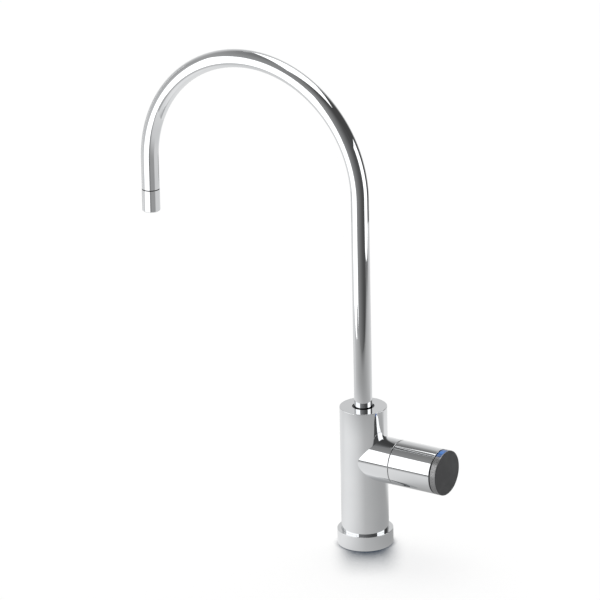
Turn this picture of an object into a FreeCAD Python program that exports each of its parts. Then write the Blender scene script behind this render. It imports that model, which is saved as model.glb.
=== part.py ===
import FreeCAD, Part
import math
import os

# Water purifier tap: a gooseneck spout that swivels on an upright body, with a turning knob on a side branch.
# All sizes are in millimetres. The origin is the middle of the seat on the worktop and +Z is up.
# The knob points along +X and the spout reaches along -X, so the XZ plane is the plane of symmetry.

# Spout
TUBE_DIAMETER = 12.0
TUBE_WALL = 1.0
ARCH_RADIUS = 82.3
SPRING_HEIGHT = 241.0
DROP_LENGTH = 21.1

# Nozzle on the spout's end
NOZZLE_DIAMETER = 12.2
NOZZLE_LENGTH = 15.2
NOZZLE_EDGE = 0.6
NOZZLE_WALL = 1.1
NOZZLE_SPIGOT_LENGTH = 6.0
NOZZLE_THROAT = 8.4
NOZZLE_SEAL_THICKNESS = 0.6
NOZZLE_SEAL_RECESS = 0.3
STRAIGHTENER_LENGTH = 7.0
STRAIGHTENER_RECESS = 1.9
STRAIGHTENER_HOLE = 1.3
STRAIGHTENER_PITCH = 1.9

# Body and its side branch
BODY_DIAMETER = 31.5
BODY_HEIGHT = 96.7
BODY_EDGE = 0.3
KNOB_DIAMETER = 30.2
KNOB_BELOW_TOP = 34.7
BRANCH_LENGTH = 27.4

# Base ring and gasket
RING_DIAMETER = 37.2
RING_HEIGHT = 10.3
RING_EDGE = 0.25
RING_LIP = 2.6
RING_HOLE = 22.0
GASKET_PROUD = 0.4
GASKET_DEPTH = 1.6
GASKET_WIDTH = 4.0
GASKET_MARGIN = 1.9

# Waterways
THREAD_MINOR_DIAMETER = 14.95
THREAD_DEPTH = 16.0
INLET_BORE = 7.0
INLET_OFFSET = 3.9
OUTLET_BORE = 5.2
OUTLET_OFFSET = 4.2

# Spout socket in the body's top
SOCKET_DIAMETER = 14.8
SOCKET_FLOOR = 4.7
SOCKET_GAP_DEPTH = 5.0
THRUST_WASHER_THICKNESS = 1.0
THRUST_WASHER_HOLE = 10.6
STEM_LIP = 1.5
STEM_GROOVE_ROOM = 0.49
STEM_GROOVE_WALL = 0.5
STEM_SEAL_INSET = 2.6
SNAP_RING_THICKNESS = 1.2
SNAP_RING_PLAY = 0.1
SNAP_RING_REACH = 0.65
SNAP_RING_OPENING_DEG = 30.0

# Valve cartridge along the knob's axis
SEAT_OFFSET = 1.0
CHAMBER_DIAMETER = 20.0
SEAT_SEAL_THICKNESS = 1.6
DISC_DIAMETER = 15.0
DISC_THICKNESS = 3.0
DISC_CORE_DIAMETER = 5.0
DISC_WINDOW_RIM = 1.0
DISC_WINDOW_DEG = 78.0
CAGE_WALL = 1.2
CAGE_WINDOW_WIDTH = 6.0
CAGE_WINDOW_LENGTH = 4.0
DRIVER_THICKNESS = 2.5
DRIVER_KEY_WIDTH = 3.0
DRIVER_KEY_DEPTH = 1.2
FRICTION_WASHER_THICKNESS = 0.8
CARTRIDGE_THREAD_LENGTH = 12.4
CARTRIDGE_GROOVE_WIDTH = 2.0
CARTRIDGE_GROOVE_DEPTH = 1.4
HEX_THICKNESS = 3.0
NECK_DIAMETER = 13.2
NECK_LENGTH = 5.6
STOP_RIDGE_HEIGHT = 2.6
STOP_RIDGE_LENGTH = 3.6
STOP_FINGER_DEG = 24.0
STOP_SLACK_DEG = 1.5
KNOB_TRAVEL_DEG = 90.0

# Spindle
SPINDLE_DIAMETER = 9.0
SPINDLE_END_DIAMETER = 8.0
SPINDLE_END_FLATS = 5.8
SPINDLE_END_LENGTH = 8.8
SPINDLE_GROOVE_WIDTH = 1.4
SPINDLE_GROOVE_DEPTH = 0.9
SPINDLE_SEAL_PITCH = 4.0
CLIP_THICKNESS = 0.8
CLIP_WIDTH = 2.2
CLIP_OPENING_DEG = 60.0

# Knob
SEAM_GAP = 0.4
SLEEVE_LENGTH = 31.2
SLEEVE_WALL = 1.8
SLEEVE_STEP = 0.3
SLEEVE_EDGE = 0.25
HUB_WEB = 5.5
HUB_WALL = 4.0
HUB_BOSS_GAP = 0.6
SCREW_DIAMETER = 4.0
SCREW_LENGTH = 10.0
SCREW_HEAD_DIAMETER = 7.6
SCREW_HEAD_HEIGHT = 2.4
SCREW_SLOT_WIDTH = 1.0

# End cap with its light and cell
CAP_GAP = 1.0
CAP_GASKET_RECESS = 0.7
CAP_RIM = 4.4
CAP_EDGE = 0.8
CAP_FACE = 1.8
CAP_SKIRT_LENGTH = 9.0
CAP_SKIRT_WALL = 1.2
CAP_LEDGE = 0.8
WINDOW_DEG = 37.0
WINDOW_TILT_DEG = 8.5
WINDOW_DEPTH = 2.6
WINDOW_FRAME = 0.9
WINDOW_STEM_WIDTH = 2.8
WINDOW_STEM_LENGTH = 1.4
BOARD_THICKNESS = 1.0
LED_WIDTH = 3.2
LED_HEIGHT = 2.0
LED_DEPTH = 1.3
CELL_DIAMETER = 16.0
CELL_THICKNESS = 3.2
CELL_CLIP_THICKNESS = 0.4
CELL_CLIP_WIDTH = 5.0
CELL_CLIP_GAP = 0.3

# Clearances
RUNNING_GAP = 0.08
SHAFT_GAP = 0.05
FIXED_GAP = 0.03
FACE_GAP = 0.02
FREE_GAP = 0.4
SEAL_GAP = 0.04

# Radii and heights that follow from the sizes above
TUBE_R = TUBE_DIAMETER / 2
TUBE_BORE_R = TUBE_R - TUBE_WALL
REACH = 2 * ARCH_RADIUS
BODY_R = BODY_DIAMETER / 2
KNOB_R = KNOB_DIAMETER / 2
RING_R = RING_DIAMETER / 2
BODY_FOOT = GASKET_PROUD + RING_LIP
KNOB_AXIS_HEIGHT = BODY_HEIGHT - KNOB_BELOW_TOP
SOCKET_R = SOCKET_DIAMETER / 2
CHAMBER_R = CHAMBER_DIAMETER / 2
SOCKET_FLOOR_HEIGHT = KNOB_AXIS_HEIGHT + CHAMBER_R + SOCKET_FLOOR
STEM_R = SOCKET_R - RUNNING_GAP
STEM_BOTTOM = SOCKET_FLOOR_HEIGHT + THRUST_WASHER_THICKNESS + FACE_GAP
STEM_TOP = BODY_HEIGHT - SOCKET_GAP_DEPTH
STEM_BORE_R = TUBE_R + FIXED_GAP
STEM_GROOVE_R = STEM_BORE_R + STEM_GROOVE_WALL
STEM_SEAL_OUTER_R = SOCKET_R - SEAL_GAP
STEM_SEAL_INNER_R = STEM_GROOVE_R + FACE_GAP
STEM_GROOVE_WIDTH = STEM_SEAL_OUTER_R - STEM_SEAL_INNER_R + STEM_GROOVE_ROOM
SNAP_RING_HEIGHT = (STEM_BOTTOM + STEM_TOP) / 2
SNAP_GROOVE_R = STEM_R + SNAP_RING_REACH
NOZZLE_R = NOZZLE_DIAMETER / 2
TUBE_END = SPRING_HEIGHT - DROP_LENGTH
NOZZLE_TOP = TUBE_END - NOZZLE_SEAL_THICKNESS
OUTLET_HEIGHT = NOZZLE_TOP - NOZZLE_LENGTH

# Stations along the knob's axis, measured from the body's axis
FIXED_DISC_START = SEAT_OFFSET + SEAT_SEAL_THICKNESS
MOVING_DISC_START = FIXED_DISC_START + DISC_THICKNESS + FACE_GAP
DRIVER_START = MOVING_DISC_START + DISC_THICKNESS + FACE_GAP
FRICTION_START = DRIVER_START + DRIVER_THICKNESS
CAGE_SHOULDER = FRICTION_START + FRICTION_WASHER_THICKNESS + FACE_GAP
CAGE_START = SEAT_OFFSET + SEAT_SEAL_THICKNESS / 2
THREAD_START = BRANCH_LENGTH - CARTRIDGE_THREAD_LENGTH
HEX_END = BRANCH_LENGTH + HEX_THICKNESS
NECK_END = HEX_END + NECK_LENGTH
CLIP_START = NECK_END + FACE_GAP
SPINDLE_FLAT_START = CLIP_START + CLIP_THICKNESS + FREE_GAP
SPINDLE_END = SPINDLE_FLAT_START + SPINDLE_END_LENGTH
SLEEVE_START = BRANCH_LENGTH + SEAM_GAP
SLEEVE_END = SLEEVE_START + SLEEVE_LENGTH
HUB_END = SPINDLE_END + FREE_GAP
HUB_START = HUB_END - HUB_WEB
BOSS_START = SPINDLE_FLAT_START + HUB_BOSS_GAP
CAP_START = SLEEVE_END + CAP_GAP
CAP_END = CAP_START + CAP_RIM
LEDGE_START = CAP_START - FREE_GAP
BOARD_START = LEDGE_START - BOARD_THICKNESS
CELL_START = BOARD_START - CELL_THICKNESS
CELL_CLIP_START = CELL_START - CELL_CLIP_THICKNESS

# Radii about the knob's axis
DISC_R = DISC_DIAMETER / 2
CAGE_BORE_R = DISC_R + FIXED_GAP + RUNNING_GAP
CAGE_R = CAGE_BORE_R + CAGE_WALL
HOUSING_R = CHAMBER_R - SHAFT_GAP
NECK_R = NECK_DIAMETER / 2
SPINDLE_R = SPINDLE_DIAMETER / 2
NECK_BORE_R = SPINDLE_R + SHAFT_GAP
STOP_R = NECK_R + STOP_RIDGE_HEIGHT
SLEEVE_BORE_R = KNOB_R - SLEEVE_WALL
SLEEVE_FRONT_R = SLEEVE_BORE_R - SLEEVE_STEP
BAY_R = SLEEVE_FRONT_R - FIXED_GAP - CAP_SKIRT_WALL
LEDGE_R = BAY_R - CAP_LEDGE

X_AXIS = FreeCAD.Vector(1, 0, 0)
Y_AXIS = FreeCAD.Vector(0, 1, 0)
Z_AXIS = FreeCAD.Vector(0, 0, 1)
CENTRE = FreeCAD.Vector(0, 0, 0)


def upright(radius, low, high, x=0.0):
    """Round bar along Z."""
    return Part.makeCylinder(radius, high - low, FreeCAD.Vector(x, 0, low), Z_AXIS)


def upright_ring(outer, inner, low, high, x=0.0):
    """Round ring along Z."""
    return upright(outer, low, high, x).cut(upright(inner, low, high, x))


def lying(radius, start, end):
    """Round bar along the knob's axis."""
    return Part.makeCylinder(radius, end - start, FreeCAD.Vector(start, 0, KNOB_AXIS_HEIGHT), X_AXIS)


def lying_ring(outer, inner, start, end):
    """Round ring along the knob's axis."""
    return lying(outer, start, end).cut(lying(inner, start, end))


def lying_wedge(radius, start, end, middle_deg, width_deg):
    """Wedge of a bar on the knob's axis; its middle is measured from the top, turning towards -Y."""
    wedge = Part.makeCylinder(radius, end - start, CENTRE, Z_AXIS, width_deg)
    wedge.rotate(CENTRE, Z_AXIS, -width_deg / 2)
    wedge.rotate(CENTRE, Y_AXIS, 90)
    wedge.rotate(CENTRE, X_AXIS, 180 + middle_deg)
    wedge.translate(FreeCAD.Vector(start, 0, KNOB_AXIS_HEIGHT))
    return wedge


def lying_box(start, end, width, low, high):
    """Box centred on the symmetry plane, with heights measured from the knob's axis."""
    corner = FreeCAD.Vector(start, -width / 2, KNOB_AXIS_HEIGHT + low)
    return Part.makeBox(end - start, width, high - low, corner)


def turned(points):
    """Solid of revolution about Z from the corners of its half section, given as radius and height."""
    corners = [FreeCAD.Vector(radius, 0, height) for radius, height in points]
    section = Part.Face(Part.makePolygon(corners + corners[:1]))
    return section.revolve(CENTRE, Z_AXIS, 360)


def circles_at(solid, radius, place, axis):
    """Round edges of one radius whose centres lie at one place along an axis."""
    found = []
    for edge in solid.Edges:
        if isinstance(edge.Curve, Part.Circle):
            same_size = abs(edge.Curve.Radius - radius) < 1e-4
            if same_size and abs(edge.Curve.Center.dot(axis) - place) < 1e-4:
                found.append(edge)
    return found


def seal_ring(outer, inner, middle, centre, axis):
    """Round-section sealing ring that lies between two radii."""
    thickness = (outer - inner) / 2
    return Part.makeTorus(inner + thickness, thickness, centre + axis * middle, axis)


def spout_run(radius):
    """Round bar that follows the spout: riser, half-round arch and short drop."""
    riser = upright(radius, STEM_BOTTOM + STEM_LIP, SPRING_HEIGHT)
    section = Part.Face(Part.Wire(Part.makeCircle(radius, Z_AXIS * SPRING_HEIGHT, Z_AXIS)))
    arch = section.revolve(FreeCAD.Vector(-ARCH_RADIUS, 0, SPRING_HEIGHT), -Y_AXIS, 180)
    drop = upright(radius, TUBE_END, SPRING_HEIGHT, -REACH)
    return riser.fuse([arch, drop]).removeSplitter()


def make_spout_tube():
    """Bent tube of the gooseneck."""
    return spout_run(TUBE_R).cut(spout_run(TUBE_BORE_R))


def make_spout_stem():
    """Turned bush on the tube's foot, grooved for two seals and a snap ring."""
    stem = upright(STEM_R, STEM_BOTTOM, STEM_TOP)
    stem = stem.cut(upright(TUBE_BORE_R, STEM_BOTTOM, STEM_TOP))
    stem = stem.cut(upright(STEM_BORE_R, STEM_BOTTOM + STEM_LIP, STEM_TOP))
    snap_half = (SNAP_RING_THICKNESS + SNAP_RING_PLAY) / 2
    grooves = [(middle, STEM_GROOVE_WIDTH / 2) for middle in stem_seal_heights()]
    for middle, half in grooves + [(SNAP_RING_HEIGHT, snap_half)]:
        stem = stem.cut(upright_ring(SOCKET_R, STEM_GROOVE_R, middle - half, middle + half))
    return stem


def stem_seal_heights():
    """Heights of the spout's lower and upper seals."""
    return [STEM_BOTTOM + STEM_SEAL_INSET, STEM_TOP - STEM_SEAL_INSET]


def make_spout_seal(height):
    """Sealing ring in one groove of the spout stem."""
    return seal_ring(STEM_SEAL_OUTER_R, STEM_SEAL_INNER_R, height, CENTRE, Z_AXIS)


def make_spout_snap_ring():
    """Split ring that holds the stem down in the body's groove."""
    low = SNAP_RING_HEIGHT - SNAP_RING_THICKNESS / 2
    high = SNAP_RING_HEIGHT + SNAP_RING_THICKNESS / 2
    ring = upright_ring(SNAP_GROOVE_R - RUNNING_GAP, STEM_GROOVE_R + FIXED_GAP, low, high)
    opening = Part.makeCylinder(SNAP_GROOVE_R, high - low, FreeCAD.Vector(0, 0, low), Z_AXIS, SNAP_RING_OPENING_DEG)
    return ring.cut(opening)


def make_spout_thrust_washer():
    """Slippery washer on the socket's floor that carries the spout."""
    top = SOCKET_FLOOR_HEIGHT + THRUST_WASHER_THICKNESS
    return upright_ring(STEM_R, THRUST_WASHER_HOLE / 2, SOCKET_FLOOR_HEIGHT, top)


def make_nozzle_body():
    """Turned outlet piece: a spigot up inside the tube and a skirt that goes on with the tube's line."""
    skirt = upright(NOZZLE_R, OUTLET_HEIGHT, NOZZLE_TOP, -REACH)
    skirt = skirt.makeChamfer(NOZZLE_EDGE, circles_at(skirt, NOZZLE_R, OUTLET_HEIGHT, Z_AXIS))
    spigot_top = NOZZLE_TOP + NOZZLE_SPIGOT_LENGTH
    spigot = upright(TUBE_BORE_R - FIXED_GAP, NOZZLE_TOP, spigot_top, -REACH)
    throat = upright(NOZZLE_THROAT / 2, OUTLET_HEIGHT, spigot_top, -REACH)
    pocket = upright(NOZZLE_R - NOZZLE_WALL, OUTLET_HEIGHT, straightener_top(), -REACH)
    return skirt.fuse(spigot).cut([throat, pocket]).removeSplitter()


def straightener_top():
    """Height of the shoulder that the flow straightener seats on."""
    return OUTLET_HEIGHT + STRAIGHTENER_RECESS + STRAIGHTENER_LENGTH


def make_flow_straightener():
    """Insert with a hexagonal pattern of holes that calms the stream."""
    radius = NOZZLE_R - NOZZLE_WALL - FIXED_GAP
    low = OUTLET_HEIGHT + STRAIGHTENER_RECESS
    insert = upright(radius, low, straightener_top(), -REACH)
    limit = radius - STRAIGHTENER_HOLE
    rows = int(limit / STRAIGHTENER_PITCH) + 1
    holes = []
    for row in range(-rows, rows + 1):
        for column in range(-2 * rows, 2 * rows + 1):
            along = STRAIGHTENER_PITCH * (column + row / 2)
            across = STRAIGHTENER_PITCH * row * math.sqrt(3) / 2
            if math.hypot(along, across) <= limit:
                base = FreeCAD.Vector(along - REACH, across, low)
                holes.append(Part.makeCylinder(STRAIGHTENER_HOLE / 2, STRAIGHTENER_LENGTH, base, Z_AXIS))
    return insert.cut(holes)


def make_nozzle_seal():
    """Dark ring in the seam between tube and nozzle."""
    outer = TUBE_R - NOZZLE_SEAL_RECESS
    return upright_ring(outer, TUBE_BORE_R, NOZZLE_TOP, TUBE_END, -REACH)


def make_tap_body():
    """Column with its side branch, spout socket, valve chamber and waterways."""
    column = upright(BODY_R, BODY_FOOT, BODY_HEIGHT)
    column = column.makeFillet(BODY_EDGE, circles_at(column, BODY_R, BODY_HEIGHT, Z_AXIS))
    branch = lying(KNOB_R, 0, BRANCH_LENGTH)
    branch = branch.makeFillet(BODY_EDGE, circles_at(branch, KNOB_R, BRANCH_LENGTH, X_AXIS))
    socket = upright(SOCKET_R, SOCKET_FLOOR_HEIGHT, BODY_HEIGHT)
    groove_half = SNAP_RING_THICKNESS / 2 + FREE_GAP
    groove = upright(SNAP_GROOVE_R + RUNNING_GAP, SNAP_RING_HEIGHT - groove_half, SNAP_RING_HEIGHT + groove_half)
    chamber = lying(CHAMBER_R, SEAT_OFFSET, BRANCH_LENGTH)
    thread_top = BODY_FOOT + THREAD_DEPTH
    thread = upright(THREAD_MINOR_DIAMETER / 2, BODY_FOOT, thread_top)
    rise = upright(INLET_BORE / 2, thread_top, KNOB_AXIS_HEIGHT, -INLET_OFFSET)
    elbow = Part.makeSphere(INLET_BORE / 2, FreeCAD.Vector(-INLET_OFFSET, 0, KNOB_AXIS_HEIGHT))
    inlet = lying(INLET_BORE / 2, -INLET_OFFSET, SEAT_OFFSET)
    outlet = upright(OUTLET_BORE / 2, KNOB_AXIS_HEIGHT, SOCKET_FLOOR_HEIGHT, OUTLET_OFFSET)
    outlet = outlet.cut(lying(CHAMBER_R, 0, SEAT_OFFSET))
    return column.fuse(branch).cut([socket, groove, chamber, thread, rise, elbow, inlet, outlet])


def make_base_ring():
    """Flat-topped foot ring round the body, with a lip under it and a groove for the gasket."""
    bore = BODY_R + SHAFT_GAP
    ring = turned([
        (RING_HOLE / 2, GASKET_PROUD),
        (RING_R, GASKET_PROUD),
        (RING_R, RING_HEIGHT),
        (bore, RING_HEIGHT),
        (bore, BODY_FOOT),
        (RING_HOLE / 2, BODY_FOOT),
    ])
    ring = ring.makeFillet(RING_EDGE, circles_at(ring, RING_R, RING_HEIGHT, Z_AXIS))
    outer = RING_R - GASKET_MARGIN
    return ring.cut(upright_ring(outer, outer - GASKET_WIDTH, GASKET_PROUD, GASKET_PROUD + GASKET_DEPTH))


def make_base_gasket():
    """Rubber ring under the foot that seats on the worktop."""
    outer = RING_R - GASKET_MARGIN - FIXED_GAP
    inner = RING_R - GASKET_MARGIN - GASKET_WIDTH + FIXED_GAP
    return upright_ring(outer, inner, 0, GASKET_PROUD + GASKET_DEPTH)


def make_cartridge_housing():
    """Screwed valve housing: cage for the discs, thread with seal groove, hexagon, neck and stop ridge."""
    cage = lying(CAGE_R, CAGE_START, THREAD_START)
    thread = lying(HOUSING_R, THREAD_START, BRANCH_LENGTH)
    groove_start = THREAD_START + CARTRIDGE_GROOVE_WIDTH
    groove_end = groove_start + CARTRIDGE_GROOVE_WIDTH
    groove = lying_ring(CHAMBER_R, HOUSING_R - CARTRIDGE_GROOVE_DEPTH, groove_start, groove_end)
    neck = lying(NECK_R, HEX_END, NECK_END)
    opening = KNOB_TRAVEL_DEG + STOP_FINGER_DEG + 2 * STOP_SLACK_DEG
    ridge_middle = 180 + KNOB_TRAVEL_DEG / 2
    ridge = lying_wedge(STOP_R, HEX_END, HEX_END + STOP_RIDGE_LENGTH, ridge_middle, 360 - opening)
    housing = cage.fuse([thread, make_hexagon(), neck, ridge])
    cuts = [groove, lying(CAGE_BORE_R, CAGE_START, CAGE_SHOULDER), lying(NECK_BORE_R, CAGE_SHOULDER, NECK_END)]
    window_start = MOVING_DISC_START + DISC_THICKNESS / 2
    window_end = window_start + CAGE_WINDOW_LENGTH
    cuts.append(lying_box(window_start, window_end, CAGE_WINDOW_WIDTH, -CHAMBER_R, CHAMBER_R))
    return housing.cut(cuts)


def make_hexagon():
    """Hexagonal head that seats on the branch's end, inside the knob."""
    corner = SLEEVE_BORE_R - FREE_GAP
    points = []
    for step in range(7):
        angle = math.radians(60 * step)
        across = corner * math.cos(angle)
        up = KNOB_AXIS_HEIGHT + corner * math.sin(angle)
        points.append(FreeCAD.Vector(BRANCH_LENGTH, across, up))
    return Part.Face(Part.makePolygon(points)).extrude(X_AXIS * HEX_THICKNESS)


def make_cartridge_seal():
    """Sealing ring between the cartridge and the branch's bore."""
    middle = THREAD_START + 1.5 * CARTRIDGE_GROOVE_WIDTH
    outer = CHAMBER_R - FACE_GAP
    inner = HOUSING_R - CARTRIDGE_GROOVE_DEPTH + FACE_GAP
    return seal_ring(outer, inner, middle, Z_AXIS * KNOB_AXIS_HEIGHT, X_AXIS)


def make_seat_seal():
    """Rubber ring between the body's seat and the fixed disc."""
    return lying_ring(DISC_R, INLET_BORE / 2, SEAT_OFFSET, FIXED_DISC_START)


def disc_windows(start, end, middle_deg, outer):
    """Two opposite wedges that let water through a disc, clear of its core."""
    core = lying(DISC_CORE_DIAMETER / 2, start, end)
    pair = [lying_wedge(outer, start, end, middle_deg + turn, DISC_WINDOW_DEG) for turn in (0, 180)]
    return [wedge.cut(core) for wedge in pair]


def make_fixed_disc():
    """Ceramic disc with two windows, held still in the cage."""
    end = FIXED_DISC_START + DISC_THICKNESS
    disc = lying(DISC_R, FIXED_DISC_START, end)
    return disc.cut(disc_windows(FIXED_DISC_START, end, 90, DISC_R - DISC_WINDOW_RIM))


def make_moving_disc():
    """Ceramic disc whose two lobes cover the windows when shut, with a slot for the spindle's key."""
    end = MOVING_DISC_START + DISC_THICKNESS
    disc = lying(DISC_R - FIXED_GAP, MOVING_DISC_START, end)
    slot_width = DRIVER_KEY_WIDTH + 2 * SHAFT_GAP
    slot = key_box(end - DRIVER_KEY_DEPTH - SHAFT_GAP, end, slot_width)
    return disc.cut(disc_windows(MOVING_DISC_START, end, 0, DISC_DIAMETER) + [slot])


def key_box(start, end, thickness):
    """Bar across the disc, along Y, that joins the spindle to the moving disc."""
    corner = FreeCAD.Vector(start, -DISC_R, KNOB_AXIS_HEIGHT - thickness / 2)
    return Part.makeBox(end - start, DISC_DIAMETER, thickness, corner)


def make_spindle():
    """Valve spindle: driver plate with key, sealed shaft and flatted end with a screw hole."""
    plate_r = DISC_R - FIXED_GAP
    plate = lying(plate_r, DRIVER_START, FRICTION_START)
    key = key_box(DRIVER_START - DRIVER_KEY_DEPTH, DRIVER_START, DRIVER_KEY_WIDTH)
    key = key.common(lying(plate_r, MOVING_DISC_START, DRIVER_START))
    shaft = lying(SPINDLE_R, FRICTION_START, SPINDLE_FLAT_START)
    end = lying(SPINDLE_END_DIAMETER / 2, SPINDLE_FLAT_START, SPINDLE_END)
    flats = lying_box(SPINDLE_FLAT_START, SPINDLE_END, SPINDLE_END_DIAMETER, -SPINDLE_END_FLATS / 2, SPINDLE_END_FLATS / 2)
    spindle = plate.fuse([key, shaft, end.common(flats)])
    groove_r = SPINDLE_R - SPINDLE_GROOVE_DEPTH
    half = SPINDLE_GROOVE_WIDTH / 2
    cuts = [lying_ring(SPINDLE_DIAMETER, groove_r, middle - half, middle + half) for middle in spindle_seal_places()]
    cuts.append(lying_ring(SPINDLE_DIAMETER, groove_r, CLIP_START - FACE_GAP, CLIP_START + CLIP_THICKNESS + FACE_GAP))
    cuts.append(lying(SCREW_DIAMETER / 2, SPINDLE_END - SCREW_LENGTH, SPINDLE_END))
    return spindle.cut(cuts)


def spindle_seal_places():
    """Places of the spindle's inner and outer seals along the knob's axis."""
    middle = (CAGE_SHOULDER + NECK_END) / 2
    return [middle - SPINDLE_SEAL_PITCH / 2, middle + SPINDLE_SEAL_PITCH / 2]


def make_spindle_seal(place):
    """Sealing ring in one groove of the spindle."""
    outer = NECK_BORE_R - SEAL_GAP
    inner = SPINDLE_R - SPINDLE_GROOVE_DEPTH + FACE_GAP
    return seal_ring(outer, inner, place, Z_AXIS * KNOB_AXIS_HEIGHT, X_AXIS)


def make_friction_washer():
    """Slippery washer between the driver plate and the cage's shoulder."""
    end = FRICTION_START + FRICTION_WASHER_THICKNESS
    return lying_ring(DISC_R - FIXED_GAP, SPINDLE_R + SHAFT_GAP, FRICTION_START, end)


def make_spindle_clip():
    """Split steel ring that keeps the spindle in the housing."""
    inner = SPINDLE_R - SPINDLE_GROOVE_DEPTH + FIXED_GAP
    outer = inner + CLIP_WIDTH
    end = CLIP_START + CLIP_THICKNESS
    opening = lying_wedge(SPINDLE_DIAMETER, CLIP_START, end, 180, CLIP_OPENING_DEG)
    return lying_ring(outer, inner, CLIP_START, end).cut(opening)


def make_knob_sleeve():
    """Polished outer sleeve of the knob, with a small step that the hub seats on."""
    sleeve = lying(KNOB_R, SLEEVE_START, SLEEVE_END)
    rims = circles_at(sleeve, KNOB_R, SLEEVE_START, X_AXIS) + circles_at(sleeve, KNOB_R, SLEEVE_END, X_AXIS)
    sleeve = sleeve.makeFillet(SLEEVE_EDGE, rims)
    back = lying(SLEEVE_BORE_R, SLEEVE_START, HUB_END)
    front = lying(SLEEVE_FRONT_R, HUB_END, SLEEVE_END)
    return sleeve.cut([back, front])


def make_knob_hub():
    """Insert that carries the sleeve on the spindle, with the finger that meets the stop ridge."""
    boss_r = SPINDLE_END_DIAMETER / 2 + HUB_WALL
    web = lying(SLEEVE_BORE_R - FIXED_GAP, HUB_START, HUB_END)
    boss = lying(boss_r, BOSS_START, HUB_END)
    finger_start = HEX_END + FREE_GAP
    finger = lying_wedge(STOP_R - RUNNING_GAP, finger_start, HUB_START, 0, STOP_FINGER_DEG)
    finger = finger.cut(lying(NECK_R + FREE_GAP, finger_start, HUB_START))
    bore_r = SPINDLE_END_DIAMETER / 2 + SHAFT_GAP
    half_flat = SPINDLE_END_FLATS / 2 + SHAFT_GAP
    bore = lying(bore_r, BOSS_START, SPINDLE_END)
    bore = bore.common(lying_box(BOSS_START, SPINDLE_END, 2 * bore_r, -half_flat, half_flat))
    screw_hole = lying(SCREW_DIAMETER / 2, SPINDLE_END, HUB_END)
    return web.fuse([boss, finger]).cut([bore, screw_hole])


def make_knob_screw():
    """Slotted screw that clamps the hub to the spindle."""
    head_end = HUB_END + SCREW_HEAD_HEIGHT
    head = lying(SCREW_HEAD_DIAMETER / 2, HUB_END, head_end)
    head = head.cut(lying_box(HUB_END + SCREW_HEAD_HEIGHT / 2, head_end, SCREW_SLOT_WIDTH, -KNOB_R, KNOB_R))
    shank = lying(SCREW_DIAMETER / 2 - SHAFT_GAP, SPINDLE_END - SCREW_LENGTH + FREE_GAP, HUB_END)
    return head.fuse(shank)


def make_cap_gasket():
    """Dark ring set back in the gap between sleeve and end cap."""
    skirt_r = SLEEVE_FRONT_R - FIXED_GAP
    return lying_ring(KNOB_R - CAP_GASKET_RECESS, skirt_r + FIXED_GAP, SLEEVE_END, CAP_START)


def make_end_cap():
    """Cap with a flat face, a rim with the light's pocket and a skirt inside the sleeve."""
    rim = lying(KNOB_R, CAP_START, CAP_END)
    rim = rim.makeFillet(CAP_EDGE, circles_at(rim, KNOB_R, CAP_END, X_AXIS))
    skirt = lying(SLEEVE_FRONT_R - FIXED_GAP, CAP_START - CAP_SKIRT_LENGTH, CAP_START)
    bay = lying(BAY_R, CAP_START - CAP_SKIRT_LENGTH, LEDGE_START)
    front_bay = lying(LEDGE_R, LEDGE_START, CAP_END - CAP_FACE)
    pocket = window_ring(FIXED_GAP).cut(lying(KNOB_R - WINDOW_DEPTH - FIXED_GAP, CAP_START, CAP_END))
    return rim.fuse(skirt).cut([bay, front_bay, pocket, window_stem(FIXED_GAP)])


def window_ring(gap):
    """Wedge of the rim near its top that the indicator window fills, grown by a gap."""
    side_deg = math.degrees(gap / KNOB_R)
    end = CAP_END - WINDOW_FRAME + gap
    return lying_wedge(KNOB_R, CAP_START, end, WINDOW_TILT_DEG, WINDOW_DEG + 2 * side_deg)


def window_stem(gap):
    """Light guide from the bay up to the window, grown by a gap."""
    start = CAP_START + WINDOW_FRAME - gap
    end = start + WINDOW_STEM_LENGTH + 2 * gap
    low = LEDGE_R - CAP_LEDGE / 2
    return lying_box(start, end, WINDOW_STEM_WIDTH + 2 * gap, low, KNOB_R - WINDOW_DEPTH + gap)


def make_indicator_window():
    """Clear blue window in the rim, with its light guide."""
    window = window_ring(0).cut(lying(KNOB_R - WINDOW_DEPTH, CAP_START, CAP_END))
    return window.fuse(window_stem(0)).removeSplitter()


def make_circuit_board():
    """Round board that seats on the cap's inner ledge."""
    return lying(BAY_R - FIXED_GAP, BOARD_START, LEDGE_START)


def make_indicator_led():
    """Lamp on the board under the light guide."""
    top = LEDGE_R - CAP_LEDGE / 2 - FACE_GAP
    return lying_box(LEDGE_START, LEDGE_START + LED_DEPTH, LED_WIDTH, top - LED_HEIGHT, top)


def make_coin_cell():
    """Button cell on the back of the board."""
    return lying(CELL_DIAMETER / 2, CELL_START, BOARD_START)


def make_cell_clip():
    """Spring strip over the cell with two legs down to the board."""
    inside = CELL_DIAMETER / 2 + CELL_CLIP_GAP
    outside = inside + CELL_CLIP_THICKNESS
    strip = lying_box(CELL_CLIP_START, CELL_START, CELL_CLIP_WIDTH, -outside, outside)
    upper = lying_box(CELL_START, BOARD_START, CELL_CLIP_WIDTH, inside, outside)
    lower = lying_box(CELL_START, BOARD_START, CELL_CLIP_WIDTH, -outside, -inside)
    return strip.fuse([upper, lower]).removeSplitter()


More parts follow.
